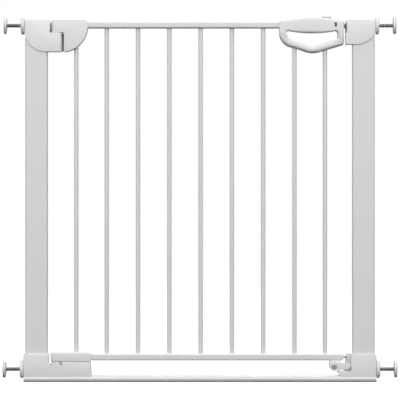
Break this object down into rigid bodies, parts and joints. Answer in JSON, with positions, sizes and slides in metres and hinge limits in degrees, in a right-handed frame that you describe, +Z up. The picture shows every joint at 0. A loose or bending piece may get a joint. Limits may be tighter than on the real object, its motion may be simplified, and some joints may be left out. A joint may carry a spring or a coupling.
{
  "type": "pressure fit safety gate",
  "caption": "Pressure-fit baby gate: a U frame on four screw spindles, and a barred leaf on a rising hinge with a loop handle and sliding latch.",
  "frame": {"origin": "on the floor under the middle of the gate", "axes": "+X along the doorway from the hinge side to the latch side, +Z up, -Y the side shown"},
  "size_m": [0.8306, 0.038, 0.7723],
  "materials": {
    "white_steel": "satin powder coat",
    "white_plastic": "fine moulded grain",
    "wheel_plastic": "moulded gloss",
    "dark_steel": "zinc plated, dark",
    "screw_steel": "zinc plated",
    "pad_rubber": "soft, light grey",
    "clear_window": "clear",
    "green_flag": "green"
  },
  "bodies": {
    "frame": {"left_upright": "white_steel", "right_upright": "white_steel", "threshold_bar": "white_steel", "threshold_end_caps": "white_plastic", "left_boot": "white_plastic", "right_boot": "white_plastic", "lower_pivot_pin": "dark_steel", "hinge_housing_front": "white_plastic", "hinge_housing_rear": "white_plastic", "latch_housing_front": "white_plastic", "latch_housing_rear": "white_plastic", "frame_screws": "screw_steel"},
    "hinge_pin": {"upper_hinge_pin": "dark_steel"},
    "leaf": {"top_rail": "white_steel", "bottom_rail": "white_steel", "bar_1": "white_steel", "bar_2": "white_steel", "bar_3": "white_steel", "bar_4": "white_steel", "bar_5": "white_steel", "bar_6": "white_steel", "bar_7": "white_steel", "bar_8": "white_steel", "bar_9": "white_steel", "leaf_hinge_cover_front": "white_plastic", "leaf_hinge_cover_rear": "white_plastic", "hinge_foot": "white_plastic", "rail_end_cap": "white_plastic", "catch_pin": "dark_steel", "stop_bracket": "white_plastic", "stop_screw": "screw_steel", "handle_front_shell": "white_plastic", "handle_rear_shell": "white_plastic", "leaf_screws": "screw_steel", "indicator_window": "clear_window", "latch_spring": "dark_steel"},
    "latch": {"latch_bolt": "dark_steel", "thumb_slide": "white_plastic", "indicator_flag": "green_flag"},
    "stop": {"stop_tongue": "white_plastic"},
    "upper_left_wheel": {"upper_left_adjusting_wheel": "wheel_plastic"},
    "upper_left_spindle": {"upper_left_spindle": "dark_steel", "upper_left_pad_cup": "wheel_plastic", "upper_left_pad_face": "pad_rubber"},
    "upper_right_wheel": {"upper_right_adjusting_wheel": "wheel_plastic"},
    "upper_right_spindle": {"upper_right_spindle": "dark_steel", "upper_right_pad_cup": "wheel_plastic", "upper_right_pad_face": "pad_rubber"},
    "lower_left_wheel": {"lower_left_adjusting_wheel": "wheel_plastic"},
    "lower_left_spindle": {"lower_left_spindle": "dark_steel", "lower_left_pad_cup": "wheel_plastic", "lower_left_pad_face": "pad_rubber"},
    "lower_right_wheel": {"lower_right_adjusting_wheel": "wheel_plastic"},
    "lower_right_spindle": {"lower_right_spindle": "dark_steel", "lower_right_pad_cup": "wheel_plastic", "lower_right_pad_face": "pad_rubber"}
  },
  "joints": [
    {"name": "leaf_rise", "type": "slide", "parent": "frame", "child": "hinge_pin", "axis": [0, 0, 1], "range_m": [0, 0.008]},
    {"name": "leaf_swing", "type": "hinge", "parent": "hinge_pin", "child": "leaf", "pos_m": [-0.3025, 0, 0.72], "axis": [0, 0, -1], "range_deg": [0, 90]},
    {"name": "latch_slide", "type": "slide", "parent": "leaf", "child": "latch", "axis": [-1, 0, 0], "range_m": [0, 0.0092], "stiffness_N_per_m": 250, "springref_m": -0.012, "deforming": ["latch_spring"]},
    {"name": "stop_swing", "type": "hinge", "parent": "leaf", "child": "stop", "pos_m": [0.2825, -0.0123, 0.0337], "axis": [0, -1, 0], "range_deg": [0, 180]},
    {"name": "upper_left_wheel_spin", "type": "hinge", "parent": "frame", "child": "upper_left_wheel", "pos_m": [-0.375, 0, 0.751], "axis": [-1, 0, 0], "range_deg": [-1440, 6912]},
    {"name": "upper_left_spindle_slide", "type": "slide", "parent": "frame", "child": "upper_left_spindle", "axis": [-1, 0, 0], "range_m": [-0.0241, 0.0051]},
    {"name": "upper_right_wheel_spin", "type": "hinge", "parent": "frame", "child": "upper_right_wheel", "pos_m": [0.375, 0, 0.751], "axis": [1, 0, 0], "range_deg": [-1440, 6912]},
    {"name": "upper_right_spindle_slide", "type": "slide", "parent": "frame", "child": "upper_right_spindle", "axis": [1, 0, 0], "range_m": [-0.0241, 0.0051]},
    {"name": "lower_left_wheel_spin", "type": "hinge", "parent": "frame", "child": "lower_left_wheel", "pos_m": [-0.375, 0, 0.0265], "axis": [-1, 0, 0], "range_deg": [-1440, 6912]},
    {"name": "lower_left_spindle_slide", "type": "slide", "parent": "frame", "child": "lower_left_spindle", "axis": [-1, 0, 0], "range_m": [-0.0241, 0.0051]},
    {"name": "lower_right_wheel_spin", "type": "hinge", "parent": "frame", "child": "lower_right_wheel", "pos_m": [0.375, 0, 0.0265], "axis": [1, 0, 0], "range_deg": [-1440, 6912]},
    {"name": "lower_right_spindle_slide", "type": "slide", "parent": "frame", "child": "lower_right_spindle", "axis": [1, 0, 0], "range_m": [-0.0241, 0.0051]}
  ],
  "couplings": [
    {"joint": "leaf_rise", "follows": "leaf_swing", "m_per_rad": 0.00509},
    {"joint": "upper_left_spindle_slide", "follows": "upper_left_wheel_spin", "m_per_rad": -0.00019894},
    {"joint": "upper_right_spindle_slide", "follows": "upper_right_wheel_spin", "m_per_rad": -0.00019894},
    {"joint": "lower_left_spindle_slide", "follows": "lower_left_wheel_spin", "m_per_rad": -0.00019894},
    {"joint": "lower_right_spindle_slide", "follows": "lower_right_wheel_spin", "m_per_rad": -0.00019894}
  ]
}
